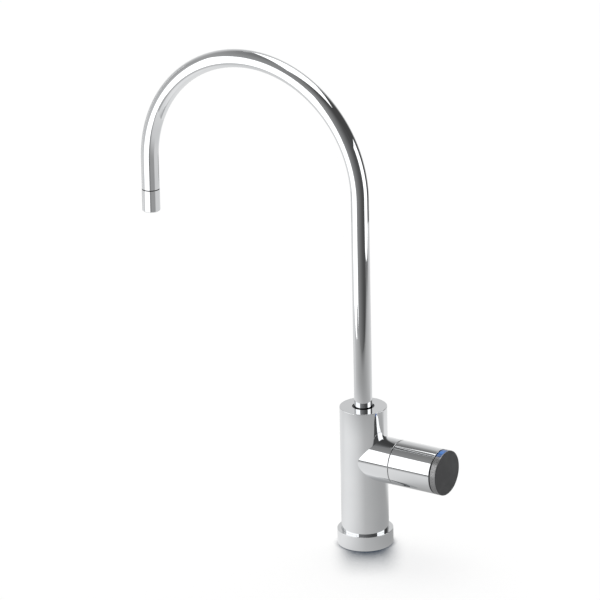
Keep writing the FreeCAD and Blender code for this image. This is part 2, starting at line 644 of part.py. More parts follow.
def make_all():
    """Every piece by its name."""
    lower_seal, upper_seal = stem_seal_heights()
    inner_seal, outer_seal = spindle_seal_places()
    return {
        "tap_body": make_tap_body(),
        "base_ring": make_base_ring(),
        "base_gasket": make_base_gasket(),
        "spout_thrust_washer": make_spout_thrust_washer(),
        "spout_tube": make_spout_tube(),
        "spout_stem": make_spout_stem(),
        "spout_lower_seal": make_spout_seal(lower_seal),
        "spout_upper_seal": make_spout_seal(upper_seal),
        "spout_snap_ring": make_spout_snap_ring(),
        "nozzle_body": make_nozzle_body(),
        "nozzle_seal": make_nozzle_seal(),
        "flow_straightener": make_flow_straightener(),
        "cartridge_housing": make_cartridge_housing(),
        "cartridge_seal": make_cartridge_seal(),
        "seat_seal": make_seat_seal(),
        "fixed_disc": make_fixed_disc(),
        "moving_disc": make_moving_disc(),
        "spindle": make_spindle(),
        "spindle_inner_seal": make_spindle_seal(inner_seal),
        "spindle_outer_seal": make_spindle_seal(outer_seal),
        "friction_washer": make_friction_washer(),
        "spindle_clip": make_spindle_clip(),
        "knob_sleeve": make_knob_sleeve(),
        "knob_hub": make_knob_hub(),
        "knob_screw": make_knob_screw(),
        "cap_gasket": make_cap_gasket(),
        "end_cap": make_end_cap(),
        "indicator_window": make_indicator_window(),
        "circuit_board": make_circuit_board(),
        "indicator_led": make_indicator_led(),
        "coin_cell": make_coin_cell(),
        "cell_clip": make_cell_clip(),
    }


os.makedirs("parts", exist_ok=True)
for name, solid in make_all().items():
    solid.exportStep(f"parts/{name}.step")
    print(f"{name}: {len(solid.Solids)} solid, {solid.Volume:.1f} mm3, valid {solid.isValid()}")
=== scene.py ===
"""Water purifier tap: the dressed model round its CAD frame, with a studio and the camera."""
import logging
import math
from dataclasses import dataclass
from enum import Enum
from typing import ClassVar, Iterable, Sequence, Union

import bpy
import numpy as np
from mathutils import Matrix, Vector


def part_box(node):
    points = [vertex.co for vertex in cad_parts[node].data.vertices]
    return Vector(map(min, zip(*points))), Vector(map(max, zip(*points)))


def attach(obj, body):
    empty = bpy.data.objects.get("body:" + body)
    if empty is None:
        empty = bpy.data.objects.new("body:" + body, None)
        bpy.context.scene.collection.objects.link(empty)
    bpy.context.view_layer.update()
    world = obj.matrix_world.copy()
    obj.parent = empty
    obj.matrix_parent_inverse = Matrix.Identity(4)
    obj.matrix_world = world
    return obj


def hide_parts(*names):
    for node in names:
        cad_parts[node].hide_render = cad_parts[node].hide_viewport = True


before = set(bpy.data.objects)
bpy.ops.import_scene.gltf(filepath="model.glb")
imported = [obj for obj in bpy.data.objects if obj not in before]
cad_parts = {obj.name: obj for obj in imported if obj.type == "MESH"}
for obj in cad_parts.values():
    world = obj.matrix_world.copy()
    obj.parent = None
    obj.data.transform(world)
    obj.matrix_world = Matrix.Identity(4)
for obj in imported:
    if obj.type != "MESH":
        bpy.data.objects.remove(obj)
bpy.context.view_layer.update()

LOG = logging.getLogger("water_purifier_tap")
CORNER_STEPS = 6
FINE_ROUNDING = 0.00005
STAGE_AROUND = 96
AXIS_GAP = 0.0001
MATT = 0.95
CAMERA_AZIMUTH = math.radians(33.0)
RIGHT_OF_CAMERA = (math.cos(CAMERA_AZIMUTH), math.sin(CAMERA_AZIMUTH), 0.0)
TOWARDS_CAMERA = (math.sin(CAMERA_AZIMUTH), -math.cos(CAMERA_AZIMUTH), 0.0)
LIGHT_BEARING = math.radians(-172.0)
ALONG_KNOB = (1.0, 0.0, 0.0)
ACROSS_KNOB = (0.0, 1.0, 0.0)
UP = (0.0, 0.0, 1.0)

Socket = bpy.types.NodeSocket
Feed = Union[Socket, float, Sequence[float]]
Colour = tuple[float, float, float]
Place = tuple[float, float, float]
# A range is a start and an end, and a step adds the results before and after them.
Range = tuple[float, float]
Step = tuple[float, float, float, float]


def lowest(node: str) -> Vector:
    """Lowest corner of a CAD node at rest."""
    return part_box(node)[0]


def highest(node: str) -> Vector:
    """Highest corner of a CAD node at rest."""
    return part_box(node)[1]


class Body(Enum):
    """Moving bodies of the tap."""

    STILL = "body"
    SPOUT = "spout"
    KNOB = "knob"


class Slot(Enum):
    """Material slots of the record."""

    CHROME = "chrome"
    BRASS = "brass"
    STEEL = "steel"
    RUBBER = "rubber"
    ACETAL = "slip_plastic"
    HUB = "hub_plastic"
    GRAPHITE = "graphite"
    WINDOW = "window"
    CERAMIC = "ceramic"
    BOARD = "board"
    LAMP = "led"


class NodeKit:
    """Adds and joins the nodes of one shader tree."""

    def __init__(self, tree: bpy.types.NodeTree) -> None:
        """Keeps the tree that the nodes go into."""
        self.tree = tree

    def node(self, kind: str, **settings: object) -> bpy.types.Node:
        """Adds one node.

        Args:
            kind: The node's Blender type name.
            settings: Properties to set on it.

        Returns:
            The new node.
        """
        made = self.tree.nodes.new(kind)
        for name, value in settings.items():
            setattr(made, name, value)
        return made

    def feed(self, socket: Socket, value: Feed) -> None:
        """Links a socket to another one, or sets its number or colour.

        Args:
            socket: The input to fill.
            value: Another node's output, a number or a tuple.
        """
        if isinstance(value, bpy.types.NodeSocket):
            self.tree.links.new(value, socket)
        else:
            socket.default_value = value

    def math(self, operation: str, *values: Feed) -> Socket:
        """Adds a Math node.

        Args:
            operation: Name of the sum.
            values: Its one to three inputs.

        Returns:
            The result.
        """
        made = self.node("ShaderNodeMath", operation=operation)
        for socket, value in zip(made.inputs, values):
            self.feed(socket, value)
        return made.outputs[0]

    def dot(self, vector: Feed, axis: Feed) -> Socket:
        """Length of a vector along an axis."""
        made = self.node("ShaderNodeVectorMath", operation="DOT_PRODUCT")
        self.feed(made.inputs[0], vector)
        self.feed(made.inputs[1], axis)
        return made.outputs["Value"]

    def span(self, value: Feed, start: Feed, end: Feed, low: Feed = 0.0, high: Feed = 1.0) -> Socket:
        """Smooth step of a value.

        Args:
            value: What is measured.
            start: Where the step begins.
            end: Where it ends.
            low: Result before the step.
            high: Result after it.

        Returns:
            The stepped value.
        """
        made = self.node("ShaderNodeMapRange", interpolation_type="SMOOTHSTEP")
        names = ("Value", "From Min", "From Max", "To Min", "To Max")
        for name, item in zip(names, (value, start, end, low, high)):
            self.feed(made.inputs[name], item)
        return made.outputs["Result"]

    def plan(self, place: Socket) -> tuple[Socket, Socket]:
        """How far a place lies to the camera's right and towards the camera."""
        return self.dot(place, RIGHT_OF_CAMERA), self.dot(place, TOWARDS_CAMERA)

    def hypotenuse(self, first: Feed, second: Feed) -> Socket:
        """Length of the longest side over two lengths that stand square to each other."""
        square = self.math("MULTIPLY_ADD", first, first, self.math("MULTIPLY", second, second))
        return self.math("SQRT", square)

    def over(self, under: Feed, upper: Feed, mask: Socket) -> Socket:
        """Lays one level over another where a mask is on."""
        kept = self.math("MULTIPLY", under, self.math("SUBTRACT", 1.0, mask))
        return self.math("ADD", kept, self.math("MULTIPLY", upper, mask))

    def mix(self, factor: Feed, first: Feed, second: Feed) -> Socket:
        """Blend of two colours.

        Args:
            factor: Share of the second colour.
            first: The colour at nought.
            second: The colour at one.

        Returns:
            The blended colour.
        """
        made = self.node("ShaderNodeMix", data_type="RGBA")
        self.feed(made.inputs["Factor"], factor)
        for socket, value in zip([s for s in made.inputs if s.type == "RGBA"], (first, second)):
            self.feed(socket, value if isinstance(value, bpy.types.NodeSocket) else (*value, 1.0))
        return next(s for s in made.outputs if s.type == "RGBA")

    def group(self, tree: bpy.types.NodeTree, **feeds: Feed) -> bpy.types.Node:
        """Places a node group.

        Args:
            tree: The shared group.
            feeds: Its inputs, with underscores for spaces.

        Returns:
            The group node.
        """
        made = self.node("ShaderNodeGroup", node_tree=tree)
        for name, value in feeds.items():
            self.feed(made.inputs[name.replace("_", " ")], value)
        return made


class SharedEffects:
    """Node groups that several finishes use, each built once."""

    DRIFT_DETAIL: float = 3.0
    DRIFT_RANGE: Range = (0.32, 0.68)
    RING_SLANT: float = 0.7
    WAVER_SCALE: float = 220.0
    WAVER_REACH: float = 12.0
    FINER_SCALE: float = 2.3
    FINER_SHARE: float = 0.5

    def __init__(self) -> None:
        """Builds every group."""
        self.drift = self._drift()
        self.lathe = self._lathe()
        self.grain = self._grain()

    @staticmethod
    def _new(
        name: str, inputs: Sequence[str], outputs: Sequence[str]
    ) -> tuple[NodeKit, dict[str, Socket], bpy.types.Node]:
        """Starts a group with its sockets, which take numbers apart from the one named Vector.

        Args:
            name: The group's name.
            inputs: Names of its inputs.
            outputs: Names of its outputs.

        Returns:
            The group's kit, its input sockets by name and its output node.
        """
        tree = bpy.data.node_groups.new(name, "ShaderNodeTree")
        for side, labels in (("INPUT", inputs), ("OUTPUT", outputs)):
            for label in labels:
                kind = "NodeSocketVector" if label == "Vector" else "NodeSocketFloat"
                tree.interface.new_socket(name=label, in_out=side, socket_type=kind)
        kit = NodeKit(tree)
        entry = kit.node("NodeGroupInput")
        return kit, {label: entry.outputs[label] for label in inputs}, kit.node("NodeGroupOutput")

    @staticmethod
    def _noise(kit: NodeKit, vector: Socket, scale: Feed) -> bpy.types.Node:
        """Adds soft noise at a scale."""
        noise = kit.node("ShaderNodeTexNoise")
        kit.feed(noise.inputs["Vector"], vector)
        kit.feed(noise.inputs["Scale"], scale)
        return noise

    def _drift(self) -> bpy.types.NodeTree:
        """Slow uneven change over a surface: soft noise, stretched to run from nought to one.

        Returns:
            The group, which puts out a mask and a value between its low and high inputs.
        """
        kit, given, leave = self._new("surface_drift", ("Vector", "Scale", "Low", "High"), ("Mask", "Value"))
        noise = self._noise(kit, given["Vector"], given["Scale"])
        noise.inputs["Detail"].default_value = self.DRIFT_DETAIL
        mask = kit.span(noise.outputs["Fac"], *self.DRIFT_RANGE)
        kit.feed(leave.inputs["Mask"], mask)
        kit.feed(leave.inputs["Value"], kit.span(mask, 0.0, 1.0, given["Low"], given["High"]))
        return kit.tree

    def _lathe(self) -> bpy.types.NodeTree:
        """Fine tool rings: the sine of the distance from the turning axis, broken up by noise.

        Returns:
            The group, which puts out the height of the rings.
        """
        kit, given, leave = self._new("lathe_rings", ("Vector", "Rings per metre", "Waver"), ("Height",))
        parts = kit.node("ShaderNodeSeparateXYZ")
        kit.feed(parts.inputs[0], given["Vector"])
        x, y, z = parts.outputs
        reach = kit.math("MULTIPLY_ADD", z, self.RING_SLANT, kit.hypotenuse(x, y))
        turns = kit.math("MULTIPLY", reach, kit.math("MULTIPLY", given["Rings per metre"], 2 * math.pi))
        noise = self._noise(kit, given["Vector"], self.WAVER_SCALE)
        waver = kit.math("MULTIPLY", given["Waver"], self.WAVER_REACH)
        phase = kit.math("MULTIPLY_ADD", noise.outputs["Fac"], waver, turns)
        kit.feed(leave.inputs["Height"], kit.math("SINE", phase))
        return kit.tree

    def _grain(self) -> bpy.types.NodeTree:
        """Moulded grain: small rounded cells with finer noise between them.

        Returns:
            The group, which puts out the height of the cells.
        """
        kit, given, leave = self._new("moulded_grain", ("Vector", "Scale"), ("Height",))
        cells = kit.node("ShaderNodeTexVoronoi", feature="SMOOTH_F1")
        kit.feed(cells.inputs["Vector"], given["Vector"])
        kit.feed(cells.inputs["Scale"], given["Scale"])
        noise = self._noise(kit, given["Vector"], kit.math("MULTIPLY", given["Scale"], self.FINER_SCALE))
        finer = noise.outputs["Fac"]
        height = kit.math("MULTIPLY_ADD", finer, self.FINER_SHARE, cells.outputs["Distance"])
        kit.feed(leave.inputs["Height"], height)
        return kit.tree


class Paint(NodeKit):
    """One material: its nodes, its Principled shader and the place on the surface."""

    def __init__(self, name: str) -> None:
        """Makes the material.

        Args:
            name: The material's name.
        """
        self.made = bpy.data.materials.new(name)
        self.made.use_nodes = True
        super().__init__(self.made.node_tree)
        self.shader = self.tree.nodes["Principled BSDF"]
        self.place = self.node("ShaderNodeTexCoord").outputs["Object"]

    def put(self, name: str, value: Feed) -> None:
        """Feeds one input of the shader."""
        self.feed(self.shader.inputs[name], value)

    def bump(self, height: Socket, depth: float, strength: float) -> None:
        """Raises a height pattern on the surface.

        Args:
            height: The pattern.
            depth: Its depth in metres.
            strength: Share of it that shows.
        """
        made = self.node("ShaderNodeBump")
        made.inputs["Strength"].default_value = strength
        made.inputs["Distance"].default_value = depth
        self.feed(made.inputs["Height"], height)
        self.put("Normal", made.outputs["Normal"])

    def glow(self, level: Feed) -> None:
        """Lets the surface shine with one grey level, the same under any light.

        Args:
            level: The level, where one is white.
        """
        self.put("Base Color", (0.0, 0.0, 0.0, 1.0))
        self.put("Emission Color", (1.0, 1.0, 1.0, 1.0))
        self.put("Emission Strength", level)


@dataclass(frozen=True)
class Finish:
    """What every finish shares: its slot and how its surface drifts."""

    slot: Slot
    tone: Colour
    second_tone: Colour
    rough_low: float
    rough_high: float
    drift_scale: float
    metal: float = 0.0

    def build(self, effects: SharedEffects) -> bpy.types.Material:
        """Makes the material with drifting colour and roughness, and adds its details.

        Args:
            effects: The shared node groups.

        Returns:
            The material.
        """
        kit = Paint(f"{self.slot.value}_finish")
        kit.made.diffuse_color = (*self.tone, 1.0)
        low, high = self.rough_low, self.rough_high
        drift = kit.group(effects.drift, Vector=kit.place, Scale=self.drift_scale, Low=low, High=high)
        kit.put("Base Color", kit.mix(drift.outputs["Mask"], self.tone, self.second_tone))
        kit.put("Roughness", drift.outputs["Value"])
        kit.put("Metallic", self.metal)
        self.detail(kit, effects)
        return kit.made

    def detail(self, kit: Paint, effects: SharedEffects) -> None:
        """Adds what is special to the finish; by default there is nothing."""


@dataclass(frozen=True)
class TurnedMetal(Finish):
    """Metal with the fine rings of a lathe, which turned it about an axis along the knob."""

    rings: float = 6000.0
    waver: float = 0.4
    depth: float = 0.00002
    strength: float = 0.35
    turn: Place = (0.0, math.pi / 2, 0.0)

    def detail(self, kit: Paint, effects: SharedEffects) -> None:
        """Cuts the rings.

        Args:
            kit: The material.
            effects: The shared node groups.
        """
        turned = kit.node("ShaderNodeMapping")
        turned.inputs["Rotation"].default_value = self.turn
        kit.feed(turned.inputs["Vector"], kit.place)
        vector = turned.outputs[0]
        rings = kit.group(effects.lathe, Vector=vector, Rings_per_metre=self.rings, Waver=self.waver)
        kit.bump(rings.outputs["Height"], self.depth, self.strength)


@dataclass(frozen=True)
class MouldedPiece(Finish):
    """Rubber, plastic or ceramic with a fine grain."""

    grain: float = 2500.0
    depth: float = 0.00003
    strength: float = 0.4

    def detail(self, kit: Paint, effects: SharedEffects) -> None:
        """Adds the grain."""
        grain = kit.group(effects.grain, Vector=kit.place, Scale=self.grain)
        kit.bump(grain.outputs["Height"], self.depth, self.strength)


@dataclass(frozen=True)
class CapFinish(MouldedPiece):
    """Graphite cap: a flat dark face and a paler brushed rim, with a fine grain over both."""

    grain: float = 3600.0
    depth: float = 0.00001
    strength: float = 0.25
    rim_tone: Colour = (0.35, 0.35, 0.35)
    rim_second: Colour = (0.28, 0.28, 0.285)
    rim_rough: Range = (0.26, 0.34)
    rim_metal: float = 0.9
    face_start: float = highest("end_cap").x - 0.0006
    face_end: float = highest("end_cap").x - 0.00015
    brush_scale: float = 1400.0

    def detail(self, kit: Paint, effects: SharedEffects) -> None:
        """Adds the grain and the rim, told from the face by its place along the knob.

        Args:
            kit: The material.
            effects: The shared node groups.
        """
        super().detail(kit, effects)
        dark, plain = (kit.shader.inputs[name].links[0].from_socket for name in ("Base Color", "Roughness"))
        face = kit.span(kit.dot(kit.place, ALONG_KNOB), self.face_start, self.face_end)
        low, high = self.rim_rough
        brush = kit.group(effects.drift, Vector=kit.place, Scale=self.brush_scale, Low=low, High=high)
        rim = kit.mix(brush.outputs["Mask"], self.rim_tone, self.rim_second)
        kit.put("Base Color", kit.mix(face, rim, dark))
        kit.put("Metallic", kit.span(face, 0.0, 1.0, self.rim_metal, 0.0))
        kit.put("Roughness", kit.span(face, 0.0, 1.0, brush.outputs["Value"], plain))


@dataclass(frozen=True)
class WindowFinish(Finish):
    """Blue window that is lit from inside, palest at its middle."""

    core: Colour = (0.040, 0.140, 0.400)
    edge: Colour = (0.003, 0.012, 0.055)
    middle: float = -0.0022
    half_width: float = 0.0052
    blur_scale: float = 260.0
    blur: float = 0.0008
    strength: float = 1.0
    coat: float = 0.12
    coat_rough: float = 0.05

    def detail(self, kit: Paint, effects: SharedEffects) -> None:
        """Lights the window: the light falls off with the distance from the window's middle.

        Args:
            kit: The material.
            effects: The shared node groups.
        """
        side = kit.math("ABSOLUTE", kit.math("SUBTRACT", kit.dot(kit.place, ACROSS_KNOB), self.middle))
        low, high = -self.blur, self.blur
        blur = kit.group(effects.drift, Vector=kit.place, Scale=self.blur_scale, Low=low, High=high)
        fall = kit.span(kit.math("ADD", side, blur.outputs["Value"]), 0.0, self.half_width)
        kit.put("Emission Color", kit.mix(fall, self.core, self.edge))
        kit.put("Emission Strength", self.strength)
        kit.put("Coat Weight", self.coat)
        kit.put("Coat Roughness", self.coat_rough)


@dataclass(frozen=True)
class BoardFinish(Finish):
    """Solder mask with pale tracks that run in rows."""

    track: Colour = (0.07, 0.30, 0.16)
    tracks_per_metre: float = 520.0
    track_edge: Range = (0.55, 0.7)
    track_depth: float = 0.00003
    track_strength: float = 0.6
    bend_scale: float = 180.0
    bend: float = 5.0

    def detail(self, kit: Paint, effects: SharedEffects) -> None:
        """Lays the tracks, which show where the sine of the height along the board is high.

        Args:
            kit: The material.
            effects: The shared node groups.
        """
        bend = kit.group(effects.drift, Vector=kit.place, Scale=self.bend_scale, Low=0.0, High=self.bend)
        rows = kit.math("MULTIPLY", kit.dot(kit.place, UP), self.tracks_per_metre * 2 * math.pi)
        wave = kit.math("SINE", kit.math("ADD", rows, bend.outputs["Value"]))
        mask = kit.span(wave, *self.track_edge)
        kit.put("Base Color", kit.mix(mask, self.tone, self.track))
        kit.bump(mask, self.track_depth, self.track_strength)


class Wardrobe:
    """Every finish of the tap, made once and handed out by slot."""

    FINISHES: tuple[Finish, ...] = (
        Finish(Slot.CHROME, (0.80, 0.81, 0.82), (0.775, 0.787, 0.80), 0.018, 0.04, 55.0, 1.0),
        TurnedMetal(Slot.BRASS, (0.72, 0.55, 0.27), (0.66, 0.49, 0.23), 0.16, 0.28, 90.0, 1.0),
        TurnedMetal(
            Slot.STEEL, (0.62, 0.63, 0.64), (0.56, 0.57, 0.585), 0.20, 0.32, 120.0, 1.0, rings=9000.0
        ),
        MouldedPiece(
            Slot.RUBBER, (0.030, 0.030, 0.031), (0.022, 0.022, 0.023), 0.55, 0.72, 160.0, grain=3200.0
        ),
        MouldedPiece(Slot.ACETAL, (0.86, 0.86, 0.82), (0.82, 0.82, 0.775), 0.34, 0.46, 120.0),
        MouldedPiece(Slot.HUB, (0.120, 0.120, 0.130), (0.100, 0.100, 0.108), 0.42, 0.55, 120.0),
        CapFinish(Slot.GRAPHITE, (0.049, 0.049, 0.050), (0.043, 0.043, 0.0445), 0.44, 0.52, 90.0),
        WindowFinish(Slot.WINDOW, (0.030, 0.070, 0.170), (0.024, 0.058, 0.150), 0.10, 0.18, 150.0),
        MouldedPiece(
            Slot.CERAMIC, (0.90, 0.89, 0.86), (0.86, 0.85, 0.815), 0.14, 0.22, 140.0,
            grain=5200.0, depth=0.000004,
        ),
        BoardFinish(Slot.BOARD, (0.03, 0.22, 0.10), (0.025, 0.19, 0.085), 0.28, 0.38, 150.0),
        MouldedPiece(
            Slot.LAMP, (0.75, 0.82, 0.92), (0.69, 0.77, 0.89), 0.10, 0.18, 300.0,
            grain=4200.0, depth=0.000006,
        ),
    )

    def __init__(self) -> None:
        """Builds the shared effects and every finish."""
        effects = SharedEffects()
        self.made = {finish.slot: finish.build(effects) for finish in self.FINISHES}

    def dress(self, piece: bpy.types.Object, slot: Slot) -> None:
        """Puts a finish on a piece.

        Args:
            piece: A new piece or a CAD node's object.
            slot: The finish to put on.
        """
        if not piece.material_slots:
            piece.data.materials.append(self.made[slot])
        piece.material_slots[0].material = self.made[slot]


@dataclass(frozen=True)
class StraightLine:
    """Straight path, such as the axis of a turned piece."""

    origin: Place
    along: Place
    side: Place

    def places(self, distance: np.ndarray) -> tuple[np.ndarray, np.ndarray, np.ndarray, np.ndarray]:
        """Points and directions at distances along the line.

        Args:
            distance: Distances from the origin.

        Returns:
            Centres, forward directions and two side directions, one row for each distance.
        """
        along, side = np.array(self.along), np.array(self.side)
        rows = np.ones((len(distance), 1))
        centres = np.array(self.origin) + distance[:, None] * along
        return centres, rows * along, rows * side, rows * np.cross(along, side)


@dataclass(frozen=True)
class Gooseneck:
    """Path of the spout: straight up, half round and a short way down."""

    foot: float
    spring: float
    radius: float
    tip: float

    @property
    def rise(self) -> float:
        """Length of the straight riser."""
        return self.spring - self.foot

    @property
    def length(self) -> float:
        """Whole length of the path."""
        return self.rise + math.pi * self.radius + self.spring - self.tip

    def places(self, distance: np.ndarray) -> tuple[np.ndarray, np.ndarray, np.ndarray, np.ndarray]:
        """Points and directions at distances along the spout.

        The path climbs until the rise is used up, then turns by distance over radius up to half a turn,
        and what is left over goes straight down.

        Args:
            distance: Distances from the foot.

        Returns:
            Centres, forward directions and two side directions, one row for each distance.
        """
        turn = np.clip((distance - self.rise) / self.radius, 0.0, math.pi)
        drop = np.maximum(distance - self.rise - math.pi * self.radius, 0.0)
        climb = np.minimum(distance, self.rise)
        none = np.zeros_like(distance)
        x = self.radius * (np.cos(turn) - 1.0)
        z = self.foot + climb + self.radius * np.sin(turn) - drop
        centres = np.stack([x, none, z], 1)
        forward = np.stack([-np.sin(turn), none, np.cos(turn)], 1)
        side = np.stack([np.cos(turn), none, np.sin(turn)], 1)
        return centres, forward, side, np.stack([none, none + 1.0, none], 1)


@dataclass
class WallLoop:
    """Closed outline of a wall, as places along a path, radii and outward directions."""

    along: np.ndarray
    radius: np.ndarray
    out_along: np.ndarray
    out_radius: np.ndarray

    @classmethod
    def rounded(cls, corners: Sequence[Place], stations: int = 1) -> "WallLoop":
        """Outline through corners, taken anticlockwise with distance across and radius up.

        Each corner is an arc between the outward directions of its two sides, and each side carries
        evenly spaced stations between its arcs, with the side's own outward direction.

        Args:
            corners: Distance and radius of each corner, and the radius of its arc.
            stations: Parts that each side is divided into.

        Returns:
            The outline.
        """
        points, radii = np.array(corners)[:, :2], np.array(corners)[:, 2]
        into = points - np.roll(points, 1, 0)
        into /= np.linalg.norm(into, axis=1)[:, None]
        leave = np.roll(into, -1, 0)
        turn = np.arctan2(into[:, 0] * leave[:, 1] - into[:, 1] * leave[:, 0], (into * leave).sum(1))
        first = np.arctan2(-into[:, 0], into[:, 1])
        angle = first[:, None] + turn[:, None] * np.linspace(0.0, 1.0, CORNER_STEPS + 1)
        out = np.stack([np.cos(angle), np.sin(angle)], 2)
        tangent = points - into * (radii * np.tan(np.abs(turn) / 2))[:, None]
        bend = (np.sign(turn) * radii)[:, None, None]
        arcs = tangent[:, None, :] + bend * (out - out[:, :1])
        share = (np.arange(1, stations) / stations)[None, :, None]
        ahead = np.roll(arcs[:, 0], -1, 0)[:, None, :]
        sides = arcs[:, -1:] * (1.0 - share) + ahead * share
        side_out = np.repeat(out[:, -1:], stations - 1, 1)
        line = np.concatenate([arcs, sides], 1).reshape(-1, 2)
        facing = np.concatenate([out, side_out], 1).reshape(-1, 2)
        return cls(line[:, 0], line[:, 1], facing[:, 0], facing[:, 1])


def carry(name: str, loop: WallLoop, path: Union[StraightLine, Gooseneck], around: int) -> bpy.types.Object:
    """Carries a wall's outline round and along a path.

    A point is the path's centre at its distance, plus its radius times the cosine of the angle on the
    first side direction and the sine on the second. Its normal is the outline's outward direction,
    carried the same way.

    Args:
        name: The piece's name.
        loop: The wall's closed outline.
        path: The line that it follows.
        around: Parts of a full turn.

    Returns:
        The closed piece, with exact normals.
    """
    centre, forward, side, across = path.places(loop.along)
    angle = (np.arange(around) + 0.5) * (2 * math.pi / around)
    cos, sin = np.cos(angle)[None, :, None], np.sin(angle)[None, :, None]
    outward = side[:, None] * cos + across[:, None] * sin
    points = centre[:, None] + loop.radius[:, None, None] * outward
    normals = loop.out_along[:, None, None] * forward[:, None] + loop.out_radius[:, None, None] * outward
    rows = len(loop.along)
    i, j = np.meshgrid(np.arange(rows), np.arange(around), indexing="ij")
    i, j = i.ravel(), j.ravel()
    low, high = i * around, (i + 1) % rows * around
    ahead = (j + 1) % around
    faces = np.stack([low + j, high + j, high + ahead, low + ahead], 1)
    return mesh_piece(name, points.reshape(-1, 3), faces, normals.reshape(-1, 3))


def mesh_piece(name: str, points: np.ndarray, faces: np.ndarray, normals: np.ndarray) -> bpy.types.Object:
    """Puts whole arrays of points, four-sided faces and normals into a new piece.

    Args:
        name: The piece's name.
        points: One row for each point.
        faces: Four point numbers for each face.
        normals: One row for each point.

    Returns:
        The new object, linked to the scene.
    """
    mesh = bpy.data.meshes.new(name)
    mesh.vertices.add(len(points))
    mesh.vertices.foreach_set("co", points.astype(np.float32).ravel())
    mesh.loops.add(faces.size)
    mesh.loops.foreach_set("vertex_index", faces.astype(np.int32).ravel())
    mesh.polygons.add(len(faces))
    mesh.polygons.foreach_set("loop_start", np.arange(0, faces.size, 4, dtype=np.int32))
    mesh.update(calc_edges=True)
    mesh.validate()
    mesh.polygons.foreach_set("use_smooth", np.ones(len(mesh.polygons), bool))
    mesh.normals_split_custom_set_from_vertices(normals.tolist())
    piece = bpy.data.objects.new(name, mesh)
    bpy.context.scene.collection.objects.link(piece)
    return piece


@dataclass
class SubAssembly:
    """Part of the tap that rides on one body, with the nodes that keep their CAD shape."""

    wardrobe: Wardrobe
    body: ClassVar[Body]
    nodes: ClassVar[dict[str, Slot]]

    def add(self, piece: bpy.types.Object, node: str, slot: Slot) -> None:
        """Dresses a new piece that stands for a CAD node and rides on this body.

        Args:
            piece: The new piece.
            node: The node that it stands for.
            slot: Its finish.
        """
        self.wardrobe.dress(piece, slot)
        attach(piece, self.body.value)
        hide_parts(node)
        LOG.info("%s stands for %s on %s", piece.name, node, self.body.value)

    def build(self) -> None:
        """Makes the sub-assembly's own pieces; by default there are none."""

    def assemble(self) -> None:
        """Builds the new pieces and dresses the CAD nodes that stay as they are."""
        self.build()
        for node, slot in self.nodes.items():
            self.wardrobe.dress(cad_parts[node], slot)
            LOG.info("%s dressed in %s", node, slot.value)


@dataclass
class BodyAndBase(SubAssembly):
    """Column with its branch, the foot ring and the seat."""

    body: ClassVar[Body] = Body.STILL
    nodes: ClassVar[dict[str, Slot]] = {"tap_body": Slot.CHROME, "base_gasket": Slot.RUBBER}
    ring_radius: float = highest("base_ring").x
    ring_bottom: float = lowest("base_ring").z
    ring_top: float = highest("base_ring").z
    ring_bore: float = 0.0158
    lip_top: float = lowest("tap_body").z
    lip_hole: float = 0.0110
    groove_outer: float = 0.0167
    groove_inner: float = 0.0127
    groove_top: float = highest("base_gasket").z
    edge_rounding: float = 0.00025
    around: int = 192

    def build(self) -> None:
        """Turns the foot ring about the column's axis, with fine rounded corners."""
        corners = [
            (self.ring_bottom, self.lip_hole, FINE_ROUNDING),
            (self.lip_top, self.lip_hole, FINE_ROUNDING),
            (self.lip_top, self.ring_bore, FINE_ROUNDING),
            (self.ring_top, self.ring_bore, FINE_ROUNDING),
            (self.ring_top, self.ring_radius, self.edge_rounding),
            (self.ring_bottom, self.ring_radius, FINE_ROUNDING),
            (self.ring_bottom, self.groove_outer, FINE_ROUNDING),
            (self.groove_top, self.groove_outer, FINE_ROUNDING),
            (self.groove_top, self.groove_inner, FINE_ROUNDING),
            (self.ring_bottom, self.groove_inner, FINE_ROUNDING),
        ]
        axis = StraightLine((0.0, 0.0, 0.0), UP, ALONG_KNOB)
        ring = carry("base_ring_turned", WallLoop.rounded(corners), axis, self.around)
        self.add(ring, "base_ring", Slot.CHROME)


